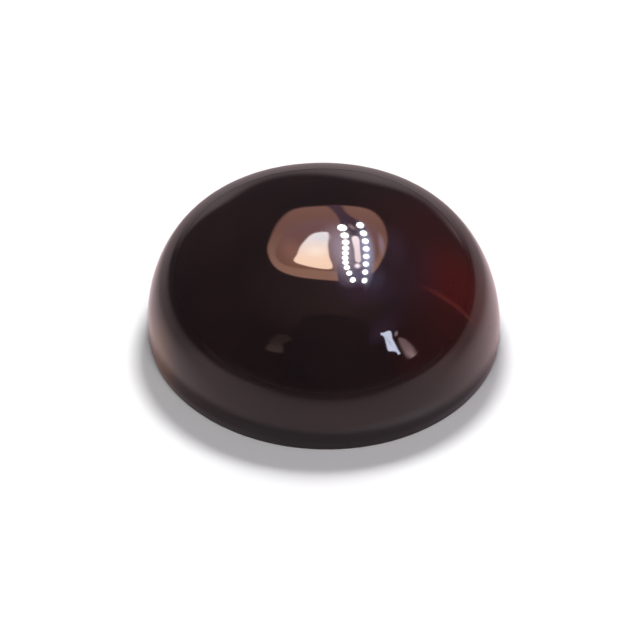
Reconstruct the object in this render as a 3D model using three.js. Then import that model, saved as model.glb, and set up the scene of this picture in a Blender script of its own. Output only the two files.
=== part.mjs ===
import * as THREE from "three";

// An agate cabochon: one loose stone, cut by hand to a high polished dome over a flat ground base.
// Millimetres, +Z up through the dome, the long way of the oval along Y, the base on z = 0.

// The oval, seen from above at its widest.
const LENGTH = 16.0; // along Y
const WIDTH = 15.4; // along X
const LOBE = 0.12; // three faint high places that hand cutting left round the outline
const LOBE_ANGLE = THREE.MathUtils.degToRad(34.6); // where the first of them is, from +X

// The side, seen from the edge.
const HEIGHT = 6.95;
const GIRDLE = 0.42; // height of the widest line over the base
const UNDERCUT = 0.07; // how far the side draws in below the widest line
const UNDERCUT_CURVE = 1.25; // 1 draws in along a straight line, more along a rounder one
const ARRIS = 0.06; // the small bevel ground along the edge of the base
const FULLNESS = 0.35; // share of the fourth power in the dome's section: 0 is a plain ellipse
const LEAN_X = -0.2; // how far the top of the dome stands off the middle, along X

// How finely the stone is faceted.
const SIDES = 96;
const DOME_STEPS = 20;
const WALL_STEPS = 3;

const MEAN_RADIUS = (LENGTH + WIDTH) / 4;
const OVALNESS = (LENGTH - WIDTH) / (LENGTH + WIDTH);

// Share of the full radius that is left at a height below the widest line.
function wallShare(height) {
  const below = 1 - height / GIRDLE;
  return 1 - (UNDERCUT / MEAN_RADIUS) * below ** UNDERCUT_CURVE;
}

// Share of the full radius at a turn of 0 (widest line) to 90 degrees (top) up the dome.
// With u for the share, (1 - FULLNESS) u^2 + FULLNESS u^4 is the squared cosine of the turn.
function domeShare(turn) {
  const plain = 1 - FULLNESS;
  const root = Math.sqrt(plain ** 2 + 4 * FULLNESS * Math.cos(turn) ** 2);
  return Math.sqrt(Math.max(0, (root - plain) / (2 * FULLNESS)));
}

// Half of the stone's section, from the middle of the base out to the side and up to the top.
function section() {
  const baseRadius = MEAN_RADIUS * wallShare(ARRIS) - ARRIS;
  const points = [new THREE.Vector2(0, 0), new THREE.Vector2(baseRadius, 0)];
  for (let step = 0; step < WALL_STEPS; step++) {
    const height = ARRIS + ((GIRDLE - ARRIS) * step) / WALL_STEPS;
    points.push(new THREE.Vector2(MEAN_RADIUS * wallShare(height), height));
  }
  for (let step = 0; step < DOME_STEPS; step++) {
    const turn = ((Math.PI / 2) * step) / DOME_STEPS;
    const height = GIRDLE + (HEIGHT - GIRDLE) * Math.sin(turn);
    points.push(new THREE.Vector2(MEAN_RADIUS * domeShare(turn), height));
  }
  points.push(new THREE.Vector2(0, HEIGHT));
  return points;
}

// Turns the round stone into the real one: an uneven oval from above, with its top off the middle.
function shapeByHand(geometry) {
  const place = geometry.getAttribute("position");
  for (let i = 0; i < place.count; i++) {
    const height = place.getZ(i);
    const angle = Math.atan2(place.getY(i), place.getX(i));
    const oval = -OVALNESS * Math.cos(2 * angle);
    const lobes = (LOBE / MEAN_RADIUS) * Math.cos(3 * (angle - LOBE_ANGLE));
    const swell = 1 + oval + lobes;
    const lean = height / HEIGHT;
    place.setX(i, place.getX(i) * swell + LEAN_X * lean);
    place.setY(i, place.getY(i) * swell);
  }
}

function cabochon() {
  const geometry = new THREE.LatheGeometry(section(), SIDES);
  geometry.rotateX(Math.PI / 2);
  shapeByHand(geometry);
  geometry.computeBoundingBox();
  const middle = geometry.boundingBox.getCenter(new THREE.Vector3());
  geometry.translate(-middle.x, -middle.y, 0);
  geometry.computeVertexNormals();
  const polishedAgate = new THREE.MeshStandardMaterial({
    color: 0x24161a,
    roughness: 0.06,
    metalness: 0,
  });
  const stone = new THREE.Mesh(geometry, polishedAgate);
  stone.name = "agate_cabochon";
  return stone;
}

const group = new THREE.Group();
group.add(cabochon());

export default group;
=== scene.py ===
"""An agate cabochon on a pale table: one hand-cut, polished dark red stone, drawn around its CAD solid."""

import math

import bpy
import numpy as np
from bpy.props import FloatProperty, FloatVectorProperty, IntProperty, PointerProperty
from bpy.types import Operator, Panel, PropertyGroup
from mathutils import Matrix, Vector


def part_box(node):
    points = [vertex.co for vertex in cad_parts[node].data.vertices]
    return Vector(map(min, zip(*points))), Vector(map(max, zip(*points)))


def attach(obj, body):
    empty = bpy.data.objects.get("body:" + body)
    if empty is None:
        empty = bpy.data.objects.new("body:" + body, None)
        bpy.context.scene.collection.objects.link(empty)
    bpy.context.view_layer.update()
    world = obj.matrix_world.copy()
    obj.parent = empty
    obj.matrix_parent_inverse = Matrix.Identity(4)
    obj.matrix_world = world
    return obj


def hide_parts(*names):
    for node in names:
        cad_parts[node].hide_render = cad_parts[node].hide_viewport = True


bl_info = {
    "name": "Agate cabochon",
    "version": (1, 0, 0),
    "blender": (4, 5, 0),
    "location": "View3D > Sidebar > Agate",
    "description": "A hand-cut, polished agate cabochon and the table and lamps it is shown with",
    "category": "Add Mesh",
}

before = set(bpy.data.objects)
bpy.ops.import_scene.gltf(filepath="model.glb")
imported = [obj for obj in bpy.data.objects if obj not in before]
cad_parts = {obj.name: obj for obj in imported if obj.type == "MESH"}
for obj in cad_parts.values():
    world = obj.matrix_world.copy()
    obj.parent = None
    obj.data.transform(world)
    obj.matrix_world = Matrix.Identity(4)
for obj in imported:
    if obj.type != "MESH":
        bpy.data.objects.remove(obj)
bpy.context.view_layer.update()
STONE_LOW, STONE_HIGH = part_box("agate_cabochon")
STONE_SIZE = STONE_HIGH - STONE_LOW
MM = 0.001

# How the stone was cut, beside its settings.
UNDERCUT_CURVE = 1.25  # 1 draws in along a straight line, more along a rounder one
LOBE_ANGLE = math.radians(34.6)  # where the first of the three high places is, from +X
CALM_HEIGHT = 1.5 * MM  # over the girdle the ripple grows from nothing within this height
BASE_ROWS = 8
ARRIS_ROWS = 6
WALL_ROWS = 6

# The picture that the camera frames, in pixels, and where the middle of the base stands in it.
PICTURE_SIZE = 640
BASE_PIXEL_X = 324.0
BASE_PIXEL_Y = 336.6
SENSOR_WIDTH = 36.0


class StoneSettings(PropertyGroup):
    """Sizes and colours of the stone."""

    length: FloatProperty(
        name="Length", description="Long way of the oval", default=STONE_SIZE.y, unit="LENGTH"
    )
    width: FloatProperty(
        name="Width", description="Short way of the oval", default=STONE_SIZE.x, unit="LENGTH"
    )
    height: FloatProperty(
        name="Height", description="Base to the top of the dome", default=STONE_SIZE.z, unit="LENGTH"
    )
    girdle: FloatProperty(
        name="Girdle height", description="Height of the widest line", default=0.42 * MM, unit="LENGTH"
    )
    undercut: FloatProperty(
        name="Undercut",
        description="How far the side draws in below the widest line",
        default=0.07 * MM,
        unit="LENGTH",
    )
    arris: FloatProperty(
        name="Arris", description="Small rounded bevel along the base", default=0.06 * MM, unit="LENGTH"
    )
    fullness: FloatProperty(
        name="Fullness", description="How full the shoulders of the dome are", default=0.35
    )
    lobe: FloatProperty(
        name="Lobes",
        description="Three faint high places round the outline",
        default=0.12 * MM,
        unit="LENGTH",
    )
    lean: FloatProperty(
        name="Lean",
        description="How far the top stands off the middle, along X",
        default=-0.2 * MM,
        unit="LENGTH",
    )
    ripple: FloatProperty(
        name="Ripple",
        description="Height of the faint unevenness that hand polishing leaves",
        default=0.004 * MM,
        unit="LENGTH",
    )
    sides: IntProperty(name="Sides", description="Faces round the stone", default=400)
    dome_rows: IntProperty(name="Dome rows", description="Faces up the dome", default=150)
    body: FloatVectorProperty(
        name="Body",
        description="Dark oxblood of the stone",
        subtype="COLOR",
        default=(0.0160, 0.0080, 0.0082),
    )
    smoke: FloatVectorProperty(
        name="Smoke", description="Nearly black clouds", subtype="COLOR", default=(0.0105, 0.0060, 0.0066)
    )
    # Partly the stone's own red, partly a painted glow of light coming through it.
    wine: FloatVectorProperty(
        name="Wine red",
        description="Where light comes through",
        subtype="COLOR",
        default=(0.078, 0.0068, 0.0055),
    )
    vein: FloatVectorProperty(
        name="Vein", description="The one thin lighter vein", subtype="COLOR", default=(0.115, 0.022, 0.017)
    )
    # Painted glow of light coming through the thin edge, low on the left side.
    edge_glow: FloatVectorProperty(
        name="Amber edge",
        description="Warm thin edge of the side",
        subtype="COLOR",
        default=(0.150, 0.066, 0.016),
    )
    polish: FloatProperty(name="Polish", description="Roughness of the dome", default=0.035)
    ground: FloatProperty(name="Ground", description="Roughness of the base", default=0.42)


class StageSettings(PropertyGroup):
    """The table, the lamps and the camera."""

    camera_turn: FloatProperty(
        name="Camera turn", description="Camera's turn round the stone", subtype="ANGLE", default=0.0
    )
    camera_rise: FloatProperty(
        name="Camera rise",
        description="Camera's angle over the table",
        subtype="ANGLE",
        default=math.radians(35.66),
    )
    camera_distance: FloatProperty(
        name="Camera distance", description="Camera to the base", subtype="DISTANCE", default=92.15 * MM
    )
    lens: FloatProperty(name="Lens", description="Focal length in millimetres", default=118.1)
    table: FloatVectorProperty(
        name="Table", description="Colour of the pale table", subtype="COLOR", default=(0.9, 0.9, 0.9)
    )
    lamp_height: FloatProperty(
        name="Lamp height",
        description="Height of the lamps over the table",
        subtype="DISTANCE",
        default=0.4,
    )
    key_power: FloatProperty(name="Key power", description="Lamp behind the stone, in watts", default=1.85)
    fill_power: FloatProperty(name="Fill power", description="Wide lamp in front, in watts", default=1.8)


class Wire:
    """A shader socket: + - * on it, or on a number and it, add Math nodes."""

    def __init__(self, shader, socket):
        self.shader = shader
        self.socket = socket

    def __add__(self, other):
        return self.shader.maths("ADD", self, other)

    def __radd__(self, other):
        return self.shader.maths("ADD", other, self)

    def __sub__(self, other):
        return self.shader.maths("SUBTRACT", self, other)

    def __rsub__(self, other):
        return self.shader.maths("SUBTRACT", other, self)

    def __mul__(self, other):
        return self.shader.maths("MULTIPLY", self, other)

    def __rmul__(self, other):
        return self.shader.maths("MULTIPLY", other, self)

    def __neg__(self):
        return self.shader.maths("MULTIPLY", self, -1.0)


class Shader:
    """Builds the nodes of one material or world."""

    def __init__(self, owner):
        owner.use_nodes = True
        self.tree = owner.node_tree
        self.tree.nodes.clear()

    def node(self, kind, settings=None, inputs=None):
        """A node of this kind, with its settings made first and then its sockets set or linked."""
        made = self.tree.nodes.new(kind)
        for name, value in (settings or {}).items():
            setattr(made, name, value)
        for name, value in (inputs or {}).items():
            self.feed(made.inputs[name], value)
        return made

    def feed(self, socket, value):
        """Links a wire to a socket, or sets a number or colour on it."""
        if isinstance(value, Wire):
            self.tree.links.new(value.socket, socket)
        else:
            socket.default_value = value

    def out(self, made, name=0):
        """The named output of a node, as a wire."""
        return Wire(self, made.outputs[name])

    def maths(self, operation, *values):
        """A Math node on wires and numbers."""
        return self.out(self.node("ShaderNodeMath", {"operation": operation}, dict(enumerate(values))))

    def smooth(self, value, low, high):
        """0 below low and 1 above high, with a soft step between them."""
        settings = {"interpolation_type": "SMOOTHSTEP"}
        inputs = {"Value": value, "From Min": low, "From Max": high, "To Min": 0.0, "To Max": 1.0}
        return self.out(self.node("ShaderNodeMapRange", settings, inputs), "Result")

    def mix(self, factor, first, second):
        """The first colour where the factor is 0, and the second where it is 1."""
        made = self.node("ShaderNodeMix", {"data_type": "RGBA", "clamp_factor": True})
        self.feed(made.inputs[0], factor)
        for socket, colour in ((made.inputs[6], first), (made.inputs[7], second)):
            self.feed(socket, colour if isinstance(colour, Wire) else (*colour, 1.0))
        return self.out(made, 2)

    def vector(self, operation, *values, result=0):
        """A Vector Math node on wires and tuples."""
        made = self.node("ShaderNodeVectorMath", {"operation": operation}, dict(enumerate(values)))
        return self.out(made, result)

    def noise(self, place, scale, detail=2.0, roughness=0.5):
        """Cloudy noise, about 0 to 1, with so many clouds to the metre."""
        inputs = {"Vector": place, "Scale": scale, "Detail": detail, "Roughness": roughness}
        return self.out(self.node("ShaderNodeTexNoise", {"noise_dimensions": "3D"}, inputs), "Fac")


def near(shader, place, centre, radius, soft):
    """1 within a ball round centre, falling softly to 0: all in millimetres."""
    away = shader.vector("DISTANCE", place, tuple(c * MM for c in centre), result="Value")
    return 1.0 - shader.smooth(away, radius * MM, (radius + soft) * MM)


# Places below are in millimetres, from the middle of the stone's base.
VEIN_NORMAL = (0.030, 0.969, 0.246)
VEIN_DISTANCE = -2.27
VEIN_CENTRE = (5.4, -3.55, 4.15)
RED_GLOW_CENTRE = (5.75, -2.6, 4.2)
# Where the stone is painted wine red, partly its own red and partly a painted glow of light coming through:
# centre, radius, soft edge and strength of each place.
RED_GLOW_PLACES = (
    ((5.6, -1.0, 5.0), 0.6, 4.8, 0.22),
    ((7.3, -1.5, 1.9), 0.3, 3.0, 0.50),
    ((3.4, -6.3, 3.4), 0.2, 1.2, 0.12),
    ((5.2, -4.5, 3.7), 0.4, 3.2, 0.26),
)
# Centre of the painted glow of light through the thin edge.
EDGE_GLOW_CENTRE = (-7.4, -2.9, 1.0)
PIT_CENTRE = (6.96, -2.35, 2.17)


def polished_agate(stone):
    """The stone's material: dark cloudy agate with one wine red window (partly its own red, partly a
    painted glow of light coming through), one vein and a mirror polish.
    """
    material = bpy.data.materials.new("polished_agate")
    shader = Shader(material)
    place = shader.out(shader.node("ShaderNodeTexCoord"), "Object")

    clouds = shader.noise(place, 190.0, 3.0, 0.5)
    wisps = shader.noise(place, 620.0, 4.0, 0.6)
    colour = shader.mix(shader.smooth(clouds * 0.75 + wisps * 0.25, 0.34, 0.68), stone.smoke, stone.body)

    for centre, radius, soft, strength in RED_GLOW_PLACES:
        colour = shader.mix(near(shader, place, centre, radius, soft) * strength, colour, stone.wine)

    along = shader.vector("DOT_PRODUCT", place, VEIN_NORMAL, result="Value")
    waver = (clouds - 0.5) * (0.2 * MM)
    across = along - VEIN_DISTANCE * MM + waver
    over_vein = shader.smooth(across, -0.15 * MM, 0.2 * MM)
    # Painted glow of light through the red window, stronger over the vein than under it, on top of the
    # stone's own red.
    red = near(shader, place, RED_GLOW_CENTRE, 0.3, 2.6) * (0.22 + 0.46 * over_vein)
    colour = shader.mix(red, colour, stone.wine)

    thin = 1.0 - shader.smooth(shader.maths("ABSOLUTE", across), 0.01 * MM, 0.18 * MM)
    colour = shader.mix(thin * near(shader, place, VEIN_CENTRE, 0.5, 1.7) * 0.75, colour, stone.vein)

    # Painted glow of light through the thin edge, low on the left side.
    colour = shader.mix(near(shader, place, EDGE_GLOW_CENTRE, 0.3, 2.1) * 0.8, colour, stone.edge_glow)
    pit = near(shader, place, PIT_CENTRE, 0.03, 0.07)
    colour = shader.mix(pit * 0.8, colour, stone.smoke)

    height = shader.out(shader.node("ShaderNodeSeparateXYZ", None, {0: place}), "Z")
    base = 1.0 - shader.smooth(height, 0.02 * MM, 0.12 * MM)
    ground_colour = tuple(0.5 * (b + v) for b, v in zip(stone.body, stone.vein))
    colour = shader.mix(base * 0.6, colour, ground_colour)
    rubbed = shader.noise(place, 900.0, 3.0, 0.6)
    roughness = stone.polish + base * (stone.ground - stone.polish) + rubbed * 0.012 + pit * 0.3

    grit = shader.noise(place, 24000.0, 2.0, 0.7)
    relief = {"Strength": 0.25, "Distance": 0.02 * MM, "Height": grit * base - pit}
    finish = {
        "Base Color": colour,
        "Roughness": roughness,
        "IOR": 1.54,
        "Normal": shader.out(shader.node("ShaderNodeBump", None, relief)),
    }
    surface = shader.node("ShaderNodeBsdfPrincipled", None, finish)
    shader.node("ShaderNodeOutputMaterial", None, {"Surface": shader.out(surface)})
    return material


def mean_radius(stone):
    """Radius of the round stone that the oval is made from."""
    return (stone.length + stone.width) / 4


def wall_share(stone, height):
    """Share of the full radius left below the widest line: one less the undercut, eased in downwards."""
    below = 1 - height / stone.girdle
    return 1 - (stone.undercut / mean_radius(stone)) * below**UNDERCUT_CURVE


def dome_share(stone, turn):
    """Share u of the full radius, where (1 - fullness) u^2 + fullness u^4 is the turn's cosine squared."""
    plain = 1 - stone.fullness
    root = np.sqrt(plain**2 + 4 * stone.fullness * np.cos(turn) ** 2)
    return np.sqrt(np.maximum(0.0, (root - plain) / (2 * stone.fullness)))


def section(stone):
    """Radius and height of each row: flat base, rounded arris, side, and dome up to the top."""
    full = mean_radius(stone)
    base_radius = full * wall_share(stone, stone.arris) - stone.arris
    base = np.linspace(0, 1, BASE_ROWS + 1)[1:] * base_radius
    bend = np.linspace(0, math.pi / 2, ARRIS_ROWS + 1)[1:]
    arris_radius = base_radius + stone.arris * np.sin(bend)
    arris_height = stone.arris * (1 - np.cos(bend))
    wall_height = np.linspace(stone.arris, stone.girdle, WALL_ROWS + 2)[1:-1]
    wall_radius = full * wall_share(stone, wall_height)
    turn = np.linspace(0, math.pi / 2, stone.dome_rows + 1)[:-1]
    dome_radius = full * dome_share(stone, turn)
    dome_height = stone.girdle + (stone.height - stone.girdle) * np.sin(turn)
    radius = np.concatenate([base, arris_radius, wall_radius, dome_radius])
    height = np.concatenate([0 * base, arris_height, wall_height, dome_height])
    return radius, height


def ripples(angle, height_share):
    """Faint waves over the dome, -1 to 1: a sum of slow sines in the turn and the height."""
    waves = ((2, 1.0, 0.4), (3, 2.2, 1.9), (5, 3.1, 3.3), (7, 4.6, 0.9))
    total = 0
    for turns, climbs, phase in waves:
        total = total + np.sin(turns * angle + phase) * np.cos(climbs * math.pi * height_share + phase)
    return total / len(waves)


def cabochon_mesh(stone):
    """The stone as a closed mesh.

    Each row of the section is carried once round Z. At an angle a its radius is stretched by
    1 - ovalness cos 2a + lobe cos 3(a - lobe angle), and it leans with its height.
    The base and the top each close on one point.
    """
    radius, height = section(stone)
    angle = np.arange(stone.sides) * (2 * math.pi / stone.sides)
    ovalness = (stone.length - stone.width) / (stone.length + stone.width)
    lobes = (stone.lobe / mean_radius(stone)) * np.cos(3 * (angle - LOBE_ANGLE))
    swell = 1 - ovalness * np.cos(2 * angle) + lobes
    share = height / stone.height
    calm = np.clip((height - stone.girdle) / CALM_HEIGHT, 0, 1) ** 2
    wave = stone.ripple * calm[:, None] * ripples(angle[None], share[:, None])
    spread = radius[:, None] * swell[None] + wave
    x = spread * np.cos(angle)[None] + stone.lean * share[:, None]
    y = spread * np.sin(angle)[None]
    z = np.repeat(height[:, None], stone.sides, axis=1)
    x -= (x.max() + x.min()) / 2
    y -= (y.max() + y.min()) / 2
    rows = np.stack([x, y, z], axis=-1).reshape(-1, 3)
    foot = rows[: stone.sides].mean(axis=0)
    crown = rows[-stone.sides :].mean(axis=0)
    crown[2] = stone.height
    points = np.concatenate([rows, foot[None], crown[None]])

    row_count = len(radius)
    first = np.arange(row_count - 1)[:, None] * stone.sides
    here = np.arange(stone.sides)[None]
    beside = (here + 1) % stone.sides
    quads = np.stack(
        [first + here, first + beside, first + stone.sides + beside, first + stone.sides + here], axis=-1
    ).reshape(-1, 4)
    last = (row_count - 1) * stone.sides
    around = np.arange(stone.sides)
    onward = (around + 1) % stone.sides
    foot_fan = np.stack([np.full(stone.sides, len(rows)), onward, around], axis=-1)
    crown_fan = np.stack([last + around, last + onward, np.full(stone.sides, len(rows) + 1)], axis=-1)
    mesh = bpy.data.meshes.new("agate_stone")
    mesh.from_pydata(points.tolist(), [], quads.tolist() + foot_fan.tolist() + crown_fan.tolist())
    mesh.shade_smooth()
    mesh.update()
    return mesh


def add_object(name, mesh):
    """Puts a mesh in the scene under its name, at the origin."""
    made = bpy.data.objects.new(name, mesh)
    bpy.context.scene.collection.objects.link(made)
    return made


class AGATE_OT_cabochon(Operator):
    """Make the polished stone in place of its CAD solid"""

    bl_idname = "agate.cabochon"
    bl_label = "Agate cabochon"

    def execute(self, context):
        stone = context.scene.agate_stone
        mesh = cabochon_mesh(stone)
        mesh.materials.append(polished_agate(stone))
        piece = add_object("agate_stone", mesh)
        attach(piece, "root")
        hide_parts("agate_cabochon")
        return {"FINISHED"}


class Bearings:
    """Directions of the picture: right across it, away from the camera over the table, and up."""

    def __init__(self, stage):
        turn, rise = stage.camera_turn, stage.camera_rise
        self.back = Vector(
            (math.sin(turn) * math.cos(rise), -math.cos(turn) * math.cos(rise), math.sin(rise))
        )
        self.right = Vector((math.cos(turn), math.sin(turn), 0))
        self.away = Vector((-math.sin(turn), math.cos(turn), 0))
        self.picture_up = self.back.cross(self.right)

    def place(self, right, away, up):
        """A point so far right, away and up."""
        return self.right * right + self.away * away + Vector((0, 0, up))


def glow_material(name, near_colour, far_colour, bearings, ends, strength=1.0):
    """A shining surface that fades out at its rim.

    Its colour, in levels of the table's white, goes from the near one to the far one between the two
    ends, which are places away over the table in metres.
    """
    material = bpy.data.materials.new(name)
    shader = Shader(material)
    place = shader.out(shader.node("ShaderNodeTexCoord"), "Object")
    away = shader.vector("DOT_PRODUCT", place, tuple(bearings.away), result="Value")
    colour = shader.mix(shader.smooth(away, *ends), near_colour, far_colour)
    light = shader.out(shader.node("ShaderNodeEmission", None, {"Color": colour, "Strength": 1.0}))
    nothing = shader.out(shader.node("ShaderNodeBsdfTransparent"))
    shine = shader.out(shader.node("ShaderNodeAttribute", {"attribute_name": "shine"}), "Fac")
    cover = shader.smooth(shine, 0.0, 1.0) * strength
    faded = shader.node("ShaderNodeMixShader", None, {0: cover, 1: nothing, 2: light})
    shader.node("ShaderNodeOutputMaterial", None, {"Surface": shader.out(faded)})
    return material


def only_reflected(piece):
    """A lamp that the polish mirrors, and that the camera and the table don't see."""
    piece.visible_camera = False
    piece.visible_diffuse = False
    piece.visible_transmission = False
    piece.visible_volume_scatter = False
    piece.visible_shadow = False


def panel(name, inner, outer, material):
    """A flat lamp, facing down: full within the inner outline and fading to nothing at the outer one."""
    count = len(inner)
    rim = [(i, (i + 1) % count, count + (i + 1) % count, count + i) for i in range(count)]
    mesh = bpy.data.meshes.new(name)
    mesh.from_pydata([tuple(p) for p in (*inner, *outer)], [], [tuple(range(count)), *rim])
    shine = mesh.attributes.new("shine", "FLOAT", "POINT")
    shine.data.foreach_set("value", [1.0] * count + [0.0] * count)
    mesh.materials.append(material)
    only_reflected(add_object(name, mesh))


# The lamps stand in a flat plan at the lamp height; their places are in lamp heights, right and away.
SHADE_CORNERS = (
    (-0.42, 0.56),
    (-0.37, 0.80),
    (-0.29, 1.10),
    (-0.18, 1.34),
    (0.03, 1.42),
    (0.33, 1.46),
    (0.46, 1.26),
    (0.53, 0.86),
    (0.51, 0.53),
    (0.44, 0.25),
    (0.26, 0.10),
    (0.03, 0.09),
    (-0.22, 0.15),
    (-0.38, 0.30),
)
RING_CORNERS = (
    (-0.355, 0.50),
    (-0.28, 0.76),
    (-0.15, 0.99),
    (0.04, 1.09),
    (0.30, 1.13),
    (0.43, 0.95),
    (0.46, 0.68),
    (0.42, 0.38),
    (0.22, 0.22),
    (-0.08, 0.24),
    (-0.29, 0.32),
)
DISC_CORNERS = (
    (-0.210, 0.375),
    (-0.18, 0.46),
    (-0.155, 0.56),
    (-0.13, 0.635),
    (-0.11, 0.68),
    (-0.08, 0.75),
    (-0.04, 0.80),
    (0.035, 0.82),
    (0.05, 0.76),
    (0.045, 0.60),
    (0.055, 0.43),
    (0.08, 0.26),
    (-0.03, 0.255),
    (-0.16, 0.315),
)
STRIP_CORNERS = (
    (0.05, 1.43),
    (0.08, 1.31),
    (0.12, 1.12),
    (0.14, 0.88),
    (0.15, 0.60),
    (0.14, 0.40),
    (0.12, 0.25),
    (0.16, 0.04),
    (0.30, 0.00),
    (0.43, 0.08),
    (0.42, 0.28),
    (0.38, 0.60),
    (0.34, 0.84),
    (0.30, 1.05),
    (0.22, 1.16),
    (0.17, 1.28),
    (0.14, 1.44),
)
TUBE_CORNERS = (
    (0.215, 0.74),
    (0.24, 0.79),
    (0.27, 0.75),
    (0.285, 0.57),
    (0.305, 0.39),
    (0.26, 0.39),
    (0.24, 0.56),
)
WINDOW_CORNERS = (
    (0.99, -0.79),
    (1.05, -0.78),
    (1.15, -0.72),
    (1.26, -0.76),
    (1.47, -0.96),
    (1.79, -1.18),
    (2.17, -1.44),
    (2.75, -1.83),
    (2.36, -1.64),
    (2.08, -1.55),
    (1.78, -1.50),
    (1.45, -1.20),
    (1.15, -0.90),
    (1.04, -0.85),
)
SHELF_CORNERS = (
    (1.70, -0.95),
    (1.98, -0.95),
    (2.45, -1.10),
    (3.32, -1.41),
    (4.50, -1.92),
    (5.35, -2.32),
    (5.20, -2.60),
    (4.50, -2.40),
    (3.49, -1.98),
    (2.33, -1.36),
)
CORNER_CORNERS = (
    (-1.48, -1.56),
    (-1.20, -1.25),
    (-0.86, -0.95),
    (-0.62, -0.90),
    (-0.55, -1.05),
    (-0.80, -1.22),
    (-1.02, -1.62),
)
# A dark silhouette with an arched top, before the faint glow overhead.
ARCH_CORNERS = (
    (-0.67, -1.20),
    (-0.42, -0.80),
    (-0.24, -0.52),
    (-0.13, -0.46),
    (0.02, -0.44),
    (0.20, -0.45),
    (0.42, -0.49),
    (0.60, -0.56),
    (0.72, -0.70),
    (0.82, -1.00),
    (1.10, -1.80),
    (1.60, -3.20),
    (0.60, -4.20),
    (-0.60, -3.80),
    (-1.00, -2.40),
)
# Each lamp: outline, half width of its soft rim, near and far colour, where they lie away, and its drop.
LAMPS = {
    "shade": (SHADE_CORNERS, 0.009, (4.8, 2.45, 1.75), (2.15, 1.02, 0.80), (0.05, 1.0), 0.0),
    "ring": (RING_CORNERS, 0.013, (2.9, 1.25, 0.80), (2.2, 1.08, 1.05), (0.2, 0.9), 0.01),
    "strip": (STRIP_CORNERS, 0.006, (0.7, 0.40, 0.7), (0.58, 0.32, 0.48), (0.2, 1.0), 0.03),
    "disc": (DISC_CORNERS, 0.006, (18.5, 12.7, 9.5), (13.6, 12.4, 12.5), (0.3, 0.75), 0.05),
    "tube": (TUBE_CORNERS, 0.005, (16.0, 12.8, 13.0), (16.0, 13.6, 14.4), (0.4, 0.8), 0.06),
    "window": (WINDOW_CORNERS, 0.005, (11.7, 12.4, 16.0), (11.6, 12.0, 15.0), (-1.5, -0.8), 0.0),
    "shelf": (SHELF_CORNERS, 0.009, (4.2, 2.95, 2.95), (2.5, 1.6, 1.7), (-2.2, -1.0), 0.0),
    "arch": (ARCH_CORNERS, 0.012, (0.06, 0.05, 0.06), (0.06, 0.05, 0.06), (0.0, 1.0), -0.03),
    "corner": (CORNER_CORNERS, 0.014, (0.60, 0.43, 0.37), (0.32, 0.20, 0.19), (-1.5, -1.0), 0.0),
}
# Each round glow: centre, half sizes, turn in degrees, colour, strength and drop.
GLOWS = {
    "overhead": ((0.0, -0.20), (1.20, 1.1), 0, (0.27, 0.16, 0.15), 0.9, -0.05),
    "haze": ((0.42, 0.04), (0.55, 0.45), 0, (0.46, 0.25, 0.46), 0.9, -0.02),
    "ring_warm": ((-0.20, 0.48), (0.14, 0.34), 10, (4.1, 1.85, 1.35), 0.7, 0.02),
    "ring_cool": ((0.475, 0.72), (0.05, 0.28), 8, (4.3, 3.0, 3.6), 0.8, 0.02),
    "haze_near": ((0.50, 0.16), (0.15, 0.26), 0, (0.62, 0.55, 0.95), 0.8, -0.015),
    "haze_right": ((0.62, 0.75), (0.30, 0.55), 0, (0.43, 0.27, 0.48), 0.5, -0.03),
    "haze_low": ((1.00, -0.75), (0.50, 0.65), 0, (0.32, 0.18, 0.36), 0.9, -0.035),
    "row_left": ((0.16, 0.50), (0.18, 0.58), 8, (5.8, 4.6, 5.7), 0.92, 0.04),
    "row_right": ((0.35, 0.52), (0.10, 0.60), 7, (5.9, 5.8, 8.5), 0.95, 0.045),
    "row_ends": ((0.31, 0.19), (0.16, 0.19), 0, (2.4, 2.1, 3.5), 0.7, 0.048),
    "tube_end": ((0.283, 0.32), (0.040, 0.055), 0, (24.0, 20.0, 22.0), 1.0, 0.06),
    "streak": ((0.215, 0.95), (0.030, 0.09), 20, (4.5, 3.0, 3.4), 0.9, 0.06),
    "speck": ((1.45, -0.785), (0.075, 0.15), 45, (5.0, 3.8, 4.2), 0.9, 0.0),
    "window_middle": ((1.45, -1.08), (0.05, 0.55), 56, (7.6, 9.2, 11.4), 0.8, 0.01),
    "disc_grey": ((0.0, 0.73), (0.08, 0.12), 0, (12.0, 11.6, 12.2), 0.8, 0.055),
    "disc_pale": ((-0.04, 0.50), (0.11, 0.13), 0, (19.5, 17.0, 14.0), 0.45, 0.055),
}
# Share of a round glow that is full.
GLOW_CORE = 0.02
# Each row of bulbs: its places right and away as cubics of the share along it, their count, their half
# width and its growth towards the ends, and their half length and its growth.
BULB_ROWS = (
    ((0.145, 0.215, -0.53, 0.435), (0.92, -1.40, 1.28, -0.69), 10, (0.022, 0.025), (0.031, 0.08)),
    ((0.277, 0.23, -0.27, 0.14), (1.01, -1.11, 0.44, -0.22), 8, (0.025, 0.0), (0.034, 0.047)),
)
BULB_COLOUR = (60.0, 60.0, 60.0)
BULB_MIDDLE = 0.35  # how far away the rows have their smallest bulbs
BULB_RIM = 0.004
BULB_DROP = 0.08


def closed_curve(corners, steps=6):
    """A smooth closed curve through the corners, with so many points from each to the next."""
    here = np.array(corners)
    before, after, beyond = (np.roll(here, step, axis=0) for step in (1, -1, -2))
    points = []
    for share in np.arange(steps) / steps:
        straight = share * (after - before)
        bent = share**2 * (2 * before - 5 * here + 4 * after - beyond)
        turned = share**3 * (3 * (here - after) + beyond - before)
        points.append(here + 0.5 * (straight + bent + turned))
    return np.stack(points, axis=1).reshape(-1, 2)


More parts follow.
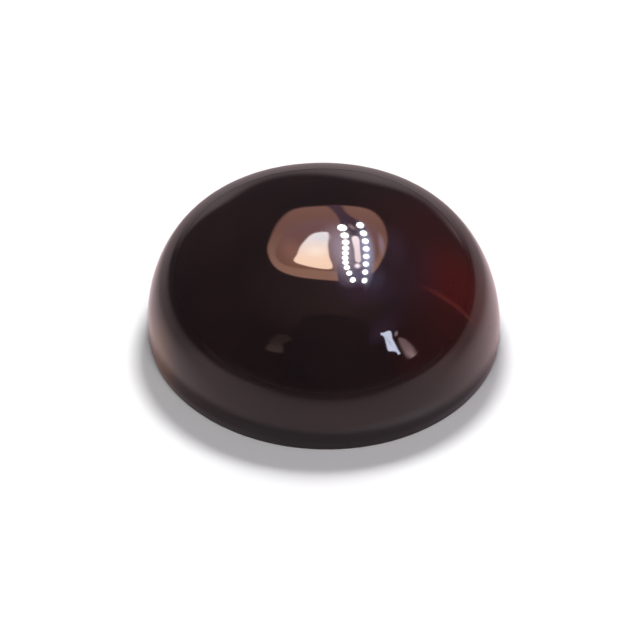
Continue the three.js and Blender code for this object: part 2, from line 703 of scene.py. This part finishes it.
def soft_rim(curve, soft):
    """The curve drawn in and out along its normals, by more where it lies farther off in the plan."""
    along = np.roll(curve, -1, axis=0) - np.roll(curve, 1, axis=0)
    normal = np.stack([along[:, 1], -along[:, 0]], axis=1) / np.linalg.norm(along, axis=1)[:, None]
    onward = np.roll(curve, -1, axis=0)
    winding = np.sign(np.sum(curve[:, 0] * onward[:, 1] - curve[:, 1] * onward[:, 0]))
    offset = winding * normal * soft * (1 + np.sum(curve**2, axis=1))[:, None]
    return curve - offset, curve + offset


def oval(centre, half, turn, count=32):
    """Points of an oval with these half sizes, turned by so many degrees."""
    around = np.arange(count) * (2 * math.pi / count)
    across, along = half[0] * np.cos(around), half[1] * np.sin(around)
    cosine, sine = math.cos(math.radians(turn)), math.sin(math.radians(turn))
    turned = (across * cosine + along * sine, along * cosine - across * sine)
    return np.stack(turned, axis=1) + centre


def add_lamps(stage, bearings):
    """The lamps and glows overhead that the dome mirrors."""
    height = stage.lamp_height

    def place(points, drop):
        """Points of the plan, seen from the top of the dome, in space, brought nearer by the drop."""
        level = height * (1 - drop)
        reach = level - STONE_SIZE.z
        return [bearings.place(x * reach, y * reach, level) for x, y in points]

    for name, (corners, soft, near_colour, far_colour, ends, drop) in LAMPS.items():
        inner, outer = soft_rim(closed_curve(corners), soft)
        ends = [end * height for end in ends]
        material = glow_material(name, near_colour, far_colour, bearings, ends)
        panel(name, place(inner, drop), place(outer, drop), material)
    for name, (centre, half, turn, colour, strength, drop) in GLOWS.items():
        outer = oval(centre, half, -turn)
        inner = centre + (outer - centre) * GLOW_CORE
        material = glow_material(name, colour, colour, bearings, (0, 1), strength)
        panel(name, place(inner, drop), place(outer, drop), material)
    bulb = glow_material("bulb", BULB_COLOUR, BULB_COLOUR, bearings, (0, 1))
    for row, (rightwards, awaywards, count, width, length) in enumerate(BULB_ROWS):
        ways = (rightwards, awaywards)
        for number in range(count):
            share = number / (count - 1)
            centre = [sum(f * share**power for power, f in enumerate(way)) for way in ways]
            endwards = (centre[1] - BULB_MIDDLE) ** 2
            half = (width[0] + width[1] * endwards, length[0] + length[1] * endwards)
            inner, outer = soft_rim(oval(centre, half, 0, 20), BULB_RIM)
            outlines = (place(inner, BULB_DROP), place(outer, BULB_DROP))
            panel(f"bulb_{row}_{number}", *outlines, bulb)


def add_soft_lamp(name, place, size, energy):
    """An oval soft lamp, so wide and high, aimed at the stone, which the polish doesn't mirror."""
    data = bpy.data.lights.new(name, "AREA")
    data.shape = "ELLIPSE"
    data.size, data.size_y = size
    data.energy = energy
    lamp = bpy.data.objects.new(name, data)
    bpy.context.scene.collection.objects.link(lamp)
    lamp.location = place
    lamp.rotation_euler = place.to_track_quat("Z", "Y").to_euler()
    lamp.visible_glossy = False
    lamp.visible_camera = False
    return lamp


# The hidden card that widens the shadow: its height, and half its plan as shares of the stone.
CARD_HEIGHT = 2.45 * MM
CARD_HALF_X = 0.52
CARD_HALF_Y = 0.5375


def add_shadow_card(bearings, fill):
    """A card round the stone's front that only shades: it widens the shadow at the sides.

    It would stand in the fill lamp's way too, so that lamp leaves it out.
    """
    around = np.radians(np.arange(146, 393, 4))
    half_x, half_y = CARD_HALF_X * STONE_SIZE.x, CARD_HALF_Y * STONE_SIZE.y
    middle = half_y - STONE_SIZE.y / 2
    plan = [(half_x * math.cos(a), middle + half_y * math.sin(a)) for a in around]
    points = [bearings.place(x, y, CARD_HEIGHT) for x, y in plan]
    mesh = bpy.data.meshes.new("shadow_card")
    mesh.from_pydata(points, [], [tuple(range(len(points)))])
    card = add_object("shadow_card", mesh)
    card.visible_camera = False
    card.visible_glossy = False
    card.visible_diffuse = False
    spared = bpy.data.collections.new("spared_by_fill")
    spared.objects.link(card)
    fill.light_linking.blocker_collection = spared
    spared.collection_objects[0].light_linking.link_state = "EXCLUDE"


def add_soft_lamps(stage, bearings):
    """A lamp behind the stone that throws its shadow forwards, and a wide one in front that fills it."""
    rise = math.radians(57)
    distance = 0.45
    behind = bearings.place(0.022, distance * math.cos(rise), distance * math.sin(rise))
    add_soft_lamp("key", behind, (0.15, 0.13), stage.key_power)
    rise = math.radians(58)
    distance = 0.60
    in_front = bearings.place(0.0, -distance * math.cos(rise), distance * math.sin(rise))
    fill = add_soft_lamp("fill", in_front, (0.50, 0.50), stage.fill_power)
    add_shadow_card(bearings, fill)


# What the polish mirrors low down, far off: dark, dim in front, and pale straight behind.
FAR_DARK = (0.05, 0.04, 0.045)
FAR_FRONT = (0.17, 0.13, 0.135)
FAR_BEHIND = (0.31, 0.25, 0.26)


def straight_behind(shader, direction, bearings):
    """1 for directions that lead straight away from the camera over the table, 0 to the sides."""
    behind = shader.vector("DOT_PRODUCT", direction, tuple(bearings.away), result="Value")
    return shader.smooth(behind, 0.68, 0.94)


def pale_table(stage, bearings):
    """The table: plain and pale, and white far off, as the air behind it is for the camera.

    The polish mirrors it as a pinkish mat that ends in the dark.
    """
    material = bpy.data.materials.new("pale_table")
    shader = Shader(material)
    place = shader.out(shader.node("ShaderNodeTexCoord"), "Object")
    sideways = shader.vector("DOT_PRODUCT", place, tuple(bearings.right), result="Value")
    away = shader.vector("DOT_PRODUCT", place, tuple(bearings.away), result="Value")
    left_end = shader.smooth(-sideways, 18 * MM, 36 * MM)
    right_end = shader.smooth(sideways, 27 * MM, 44 * MM)
    front_end = shader.smooth(-away, 8 * MM, 55 * MM)
    end = shader.maths("MAXIMUM", shader.maths("MAXIMUM", left_end, right_end), front_end)
    back_end = shader.smooth(away, 10 * MM, 60 * MM)
    direction = shader.vector("NORMALIZE", place)
    behind = straight_behind(shader, direction, bearings)
    dark = shader.mix(shader.smooth(-away, 5 * MM, 25 * MM), FAR_DARK, FAR_FRONT)
    beyond = shader.mix(behind, dark, FAR_BEHIND)
    middle = tuple(bearings.place(0.8 * MM, 0, 0))
    off_stone = shader.vector("DISTANCE", place, middle, result="Value")
    # Painted reflection: beside and behind the stone the mirrored mat is painted brighter close to it and
    # dimmer farther off.
    beside = shader.smooth(away, -9 * MM, 0.0)
    farther = shader.smooth(off_stone, 9.5 * MM, 17.5 * MM)
    pink = tuple(c * share for c, share in zip(stage.table, (0.68, 0.53, 0.54)))
    bright, dim = (tuple(c * level for c in pink) for level in (1.3, 0.52))
    mat = shader.mix(beside, pink, shader.mix(farther, bright, dim))
    # Painted reflection: close in front, where the table lies in the stone's shadow, its mirrored colour is
    # painted lighter and greyer.
    close = 1.0 - shader.smooth(off_stone, 8.8 * MM, 10.6 * MM)
    in_front = 1.0 - shader.smooth(away, -4 * MM, 1 * MM)
    in_middle = shader.smooth(sideways, -7 * MM, -3 * MM) * (1.0 - shader.smooth(sideways, 5 * MM, 8 * MM))
    in_shade = close * in_front * in_middle
    mat = shader.mix(in_shade * 0.6, mat, (0.92, 0.87, 0.94))
    mirrored = shader.mix(shader.maths("MAXIMUM", end, back_end), mat, beyond)
    ray = shader.node("ShaderNodeLightPath")
    colour = shader.mix(shader.out(ray, "Is Glossy Ray"), stage.table, mirrored)
    lit = shader.out(shader.node("ShaderNodeBsdfDiffuse", None, {"Color": colour}))
    white = shader.out(shader.node("ShaderNodeEmission", None, {"Strength": 1.0}))
    far_off = shader.smooth(shader.vector("LENGTH", place, result="Value"), 40 * MM, 110 * MM)
    far_off = far_off * shader.out(ray, "Is Camera Ray")
    surface = shader.node("ShaderNodeMixShader", None, {0: far_off, 1: lit, 2: white})
    shader.node("ShaderNodeOutputMaterial", None, {"Surface": shader.out(surface)})
    return material


def add_table(stage, bearings):
    """A wide flat table top."""
    reach = 2.0
    corners = [(-reach, -reach, 0), (reach, -reach, 0), (reach, reach, 0), (-reach, reach, 0)]
    mesh = bpy.data.meshes.new("table")
    mesh.from_pydata(corners, [], [(0, 1, 2, 3)])
    mesh.materials.append(pale_table(stage, bearings))
    table = add_object("table", mesh)


# Where the faint blue glow overhead stands, right and away for each unit up.
HAZE_PLACE = (0.62, 0.22)
# The pale part low behind comes and goes with a wave from side to side: its rate and its start.
WAVE_RATE = 12.6
WAVE_START = 4.66


def add_surroundings(bearings):
    """White for the camera.

    For the polish it is dark overhead, with a faint blue glow, dim low in front and pale low behind.
    """
    world = bpy.data.worlds.new("studio")
    bpy.context.scene.world = world
    shader = Shader(world)
    direction = shader.out(shader.node("ShaderNodeTexCoord"), "Generated")
    rise = shader.out(shader.node("ShaderNodeSeparateXYZ", None, {0: direction}), "Z")
    glow_way = bearings.place(*HAZE_PLACE, 1.0).normalized()
    off_glow = shader.vector("DISTANCE", direction, tuple(glow_way), result="Value")
    off_glow = shader.smooth(off_glow, 0.05, 0.75)
    overhead = shader.mix(off_glow, (0.17, 0.12, 0.21), (0.05, 0.042, 0.05))
    sideways = shader.vector("DOT_PRODUCT", direction, tuple(bearings.right), result="Value")
    wave = shader.maths("COSINE", sideways * WAVE_RATE + WAVE_START)
    top_edge = straight_behind(shader, direction, bearings) * (0.26 + 0.05 * wave) - 0.10
    low = 1.0 - shader.smooth(rise - top_edge, -0.07, 0.07)
    pale = shader.mix(0.5 + 0.5 * wave, (0.25, 0.20, 0.21), (0.42, 0.34, 0.35))
    mirrored = shader.mix(low, overhead, pale)
    ahead = shader.vector("DOT_PRODUCT", direction, tuple(bearings.away), result="Value")
    low_in_front = (1.0 - shader.smooth(ahead, -0.6, -0.2)) * (1.0 - shader.smooth(rise, 0.0, 0.09))
    mirrored = shader.mix(low_in_front, mirrored, FAR_FRONT)
    seen = shader.out(shader.node("ShaderNodeLightPath"), "Is Camera Ray")
    colour = shader.mix(seen, mirrored, (1.0, 1.0, 1.0))
    light = shader.node("ShaderNodeBackground", None, {"Color": colour, "Strength": 1.0})
    shader.node("ShaderNodeOutputWorld", None, {"Surface": shader.out(light)})


def add_camera(stage, bearings):
    """The camera, turned so that the middle of the base stands at its pixel of the picture."""
    data = bpy.data.cameras.new("camera")
    data.sensor_width = SENSOR_WIDTH
    data.lens = stage.lens
    data.clip_start = 0.001
    data.clip_end = 20.0
    pixel = stage.camera_distance * SENSOR_WIDTH / (stage.lens * PICTURE_SIZE)
    middle = PICTURE_SIZE / 2
    up, right = (BASE_PIXEL_Y - middle) * pixel, (BASE_PIXEL_X - middle) * pixel
    aim = bearings.picture_up * up - bearings.right * right
    camera = bpy.data.objects.new("camera", data)
    bpy.context.scene.collection.objects.link(camera)
    camera.location = bearings.back * stage.camera_distance
    camera.rotation_euler = (camera.location - aim).to_track_quat("Z", "Y").to_euler()
    bpy.context.scene.camera = camera


class AGATE_OT_stage(Operator):
    """Set out the table, the lamps and the camera"""

    bl_idname = "agate.stage"
    bl_label = "Table, lamps and camera"

    def execute(self, context):
        stage = context.scene.agate_stage
        bearings = Bearings(stage)
        add_table(stage, bearings)
        add_surroundings(bearings)
        add_lamps(stage, bearings)
        add_soft_lamps(stage, bearings)
        add_camera(stage, bearings)
        context.scene.view_settings.view_transform = "Standard"
        return {"FINISHED"}


class AGATE_PT_panel(Panel):
    """Lists what can be made"""

    bl_idname = "AGATE_PT_panel"
    bl_label = "Agate cabochon"
    bl_space_type = "VIEW_3D"
    bl_region_type = "UI"
    bl_category = "Agate"

    def draw(self, context):
        for operator in OPERATORS:
            self.layout.operator(operator.bl_idname)


OPERATORS = (AGATE_OT_stage, AGATE_OT_cabochon)
CLASSES = (StoneSettings, StageSettings, *OPERATORS, AGATE_PT_panel)


def register():
    for cls in CLASSES:
        bpy.utils.register_class(cls)
    bpy.types.Scene.agate_stone = PointerProperty(type=StoneSettings)
    bpy.types.Scene.agate_stage = PointerProperty(type=StageSettings)


def unregister():
    del bpy.types.Scene.agate_stage
    del bpy.types.Scene.agate_stone
    for cls in reversed(CLASSES):
        bpy.utils.unregister_class(cls)


def main():
    """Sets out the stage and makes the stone."""
    register()
    bpy.ops.agate.stage()
    bpy.ops.agate.cabochon()


if __name__ == "__main__":
    main()
